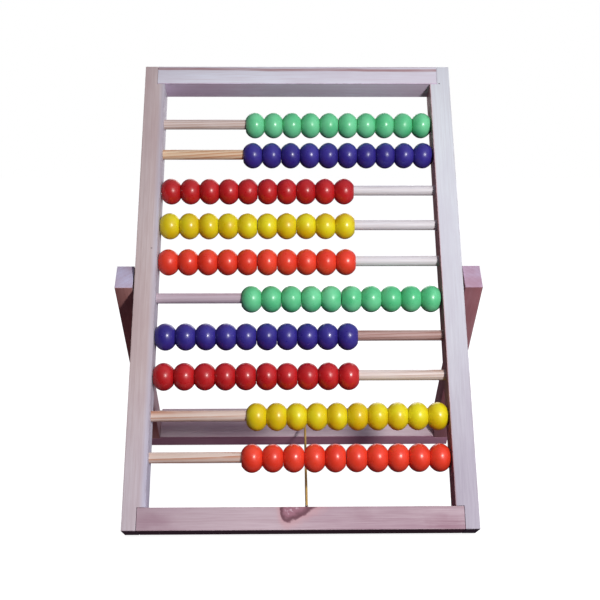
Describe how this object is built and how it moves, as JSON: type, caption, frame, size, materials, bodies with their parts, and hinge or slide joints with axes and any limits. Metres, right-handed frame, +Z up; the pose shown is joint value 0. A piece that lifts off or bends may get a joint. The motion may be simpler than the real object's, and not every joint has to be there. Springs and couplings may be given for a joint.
{
  "type": "bead abacus",
  "caption": "Wooden bead abacus: rods of painted beads in a rectangular frame that leans on a fold-out U-shaped stand stopped by a cord.",
  "frame": {"origin": "on the table, under the middle of the open abacus", "axes": "+X to the right as the beads are faced, +Y to the back, +Z up"},
  "size_m": [0.3408, 0.321, 0.4142],
  "materials": {
    "frame_wood": "planed softwood, unvarnished",
    "rod_wood": "smooth dowel, unvarnished",
    "stand_wood": "planed softwood, unvarnished",
    "steel": "plain bright steel",
    "cord_twine": "twisted twine",
    "paint_green": "gloss paint",
    "paint_blue": "gloss paint",
    "paint_red": "gloss paint",
    "paint_yellow": "gloss paint",
    "paint_orange": "gloss paint"
  },
  "bodies": {
    "front_frame": {"stile_left": "frame_wood", "stile_right": "frame_wood", "top_rail": "frame_wood", "bottom_rail": "frame_wood", "nail_bottom_left_back": "steel", "nail_bottom_left_front": "steel", "nail_bottom_right_back": "steel", "nail_bottom_right_front": "steel", "nail_top_left_back": "steel", "nail_top_left_front": "steel", "nail_top_right_back": "steel", "nail_top_right_front": "steel", "rod_01": "rod_wood", "rod_02": "rod_wood", "rod_03": "rod_wood", "rod_04": "rod_wood", "rod_05": "rod_wood", "rod_06": "rod_wood", "rod_07": "rod_wood", "rod_08": "rod_wood", "rod_09": "rod_wood", "rod_10": "rod_wood", "pivot_screw_left": "steel", "pivot_screw_right": "steel", "washer_left": "steel", "washer_right": "steel", "tack_front": "steel", "cord": "cord_twine"},
    "stand": {"leg_left": "stand_wood", "leg_right": "stand_wood", "cross_rail": "stand_wood", "nail_stand_left": "steel", "nail_stand_right": "steel", "tack_back": "steel"},
    "row_01_outer": {"row_01_beads_outer": "paint_green"},
    "row_01_inner": {"row_01_beads_inner": "paint_green"},
    "row_02_outer": {"row_02_beads_outer": "paint_blue"},
    "row_02_inner": {"row_02_beads_inner": "paint_blue"},
    "row_03_outer": {"row_03_beads_outer": "paint_red"},
    "row_03_inner": {"row_03_beads_inner": "paint_red"},
    "row_04_outer": {"row_04_beads_outer": "paint_yellow"},
    "row_04_inner": {"row_04_beads_inner": "paint_yellow"},
    "row_05_outer": {"row_05_beads_outer": "paint_orange"},
    "row_05_inner": {"row_05_beads_inner": "paint_orange"},
    "row_06_outer": {"row_06_beads_outer": "paint_green"},
    "row_06_inner": {"row_06_beads_inner": "paint_green"},
    "row_07_outer": {"row_07_beads_outer": "paint_blue"},
    "row_07_inner": {"row_07_beads_inner": "paint_blue"},
    "row_08_outer": {"row_08_beads_outer": "paint_red"},
    "row_08_inner": {"row_08_beads_inner": "paint_red"},
    "row_09_outer": {"row_09_beads_outer": "paint_yellow"},
    "row_09_inner": {"row_09_beads_inner": "paint_yellow"},
    "row_10_outer": {"row_10_beads_outer": "paint_orange"},
    "row_10_inner": {"row_10_beads_inner": "paint_orange"}
  },
  "joints": [
    {"name": "stand_fold", "type": "hinge", "parent": "front_frame", "child": "stand", "pos_m": [0, -0.03825, 0.2071], "axis": [-1, 0, 0], "range_deg": [0, 71.3], "deforming": ["cord"]},
    {"name": "row_01_outer_slide", "type": "slide", "parent": "front_frame", "child": "row_01_outer", "axis": [-1, 0, 0], "range_m": [0, 0.0807]},
    {"name": "row_01_inner_slide", "type": "slide", "parent": "row_01_outer", "child": "row_01_inner", "axis": [1, 0, 0], "range_m": [-0.0807, 0]},
    {"name": "row_02_outer_slide", "type": "slide", "parent": "front_frame", "child": "row_02_outer", "axis": [-1, 0, 0], "range_m": [0, 0.0787]},
    {"name": "row_02_inner_slide", "type": "slide", "parent": "row_02_outer", "child": "row_02_inner", "axis": [1, 0, 0], "range_m": [-0.0787, 0]},
    {"name": "row_03_outer_slide", "type": "slide", "parent": "front_frame", "child": "row_03_outer", "axis": [1, 0, 0], "range_m": [0, 0.0787]},
    {"name": "row_03_inner_slide", "type": "slide", "parent": "row_03_outer", "child": "row_03_inner", "axis": [-1, 0, 0], "range_m": [-0.0787, 0]},
    {"name": "row_04_outer_slide", "type": "slide", "parent": "front_frame", "child": "row_04_outer", "axis": [1, 0, 0], "range_m": [0, 0.0787]},
    {"name": "row_04_inner_slide", "type": "slide", "parent": "row_04_outer", "child": "row_04_inner", "axis": [-1, 0, 0], "range_m": [-0.0787, 0]},
    {"name": "row_05_outer_slide", "type": "slide", "parent": "front_frame", "child": "row_05_outer", "axis": [1, 0, 0], "range_m": [0, 0.0787]},
    {"name": "row_05_inner_slide", "type": "slide", "parent": "row_05_outer", "child": "row_05_inner", "axis": [-1, 0, 0], "range_m": [-0.0787, 0]},
    {"name": "row_06_outer_slide", "type": "slide", "parent": "front_frame", "child": "row_06_outer", "axis": [-1, 0, 0], "range_m": [0, 0.0787]},
    {"name": "row_06_inner_slide", "type": "slide", "parent": "row_06_outer", "child": "row_06_inner", "axis": [1, 0, 0], "range_m": [-0.0787, 0]},
    {"name": "row_07_outer_slide", "type": "slide", "parent": "front_frame", "child": "row_07_outer", "axis": [1, 0, 0], "range_m": [0, 0.0787]},
    {"name": "row_07_inner_slide", "type": "slide", "parent": "row_07_outer", "child": "row_07_inner", "axis": [-1, 0, 0], "range_m": [-0.0787, 0]},
    {"name": "row_08_outer_slide", "type": "slide", "parent": "front_frame", "child": "row_08_outer", "axis": [1, 0, 0], "range_m": [0, 0.0787]},
    {"name": "row_08_inner_slide", "type": "slide", "parent": "row_08_outer", "child": "row_08_inner", "axis": [-1, 0, 0], "range_m": [-0.0787, 0]},
    {"name": "row_09_outer_slide", "type": "slide", "parent": "front_frame", "child": "row_09_outer", "axis": [-1, 0, 0], "range_m": [0, 0.0847]},
    {"name": "row_09_inner_slide", "type": "slide", "parent": "row_09_outer", "child": "row_09_inner", "axis": [1, 0, 0], "range_m": [-0.0847, 0]},
    {"name": "row_10_outer_slide", "type": "slide", "parent": "front_frame", "child": "row_10_outer", "axis": [-1, 0, 0], "range_m": [0, 0.0807]},
    {"name": "row_10_inner_slide", "type": "slide", "parent": "row_10_outer", "child": "row_10_inner", "axis": [1, 0, 0], "range_m": [-0.0807, 0]}
  ]
}
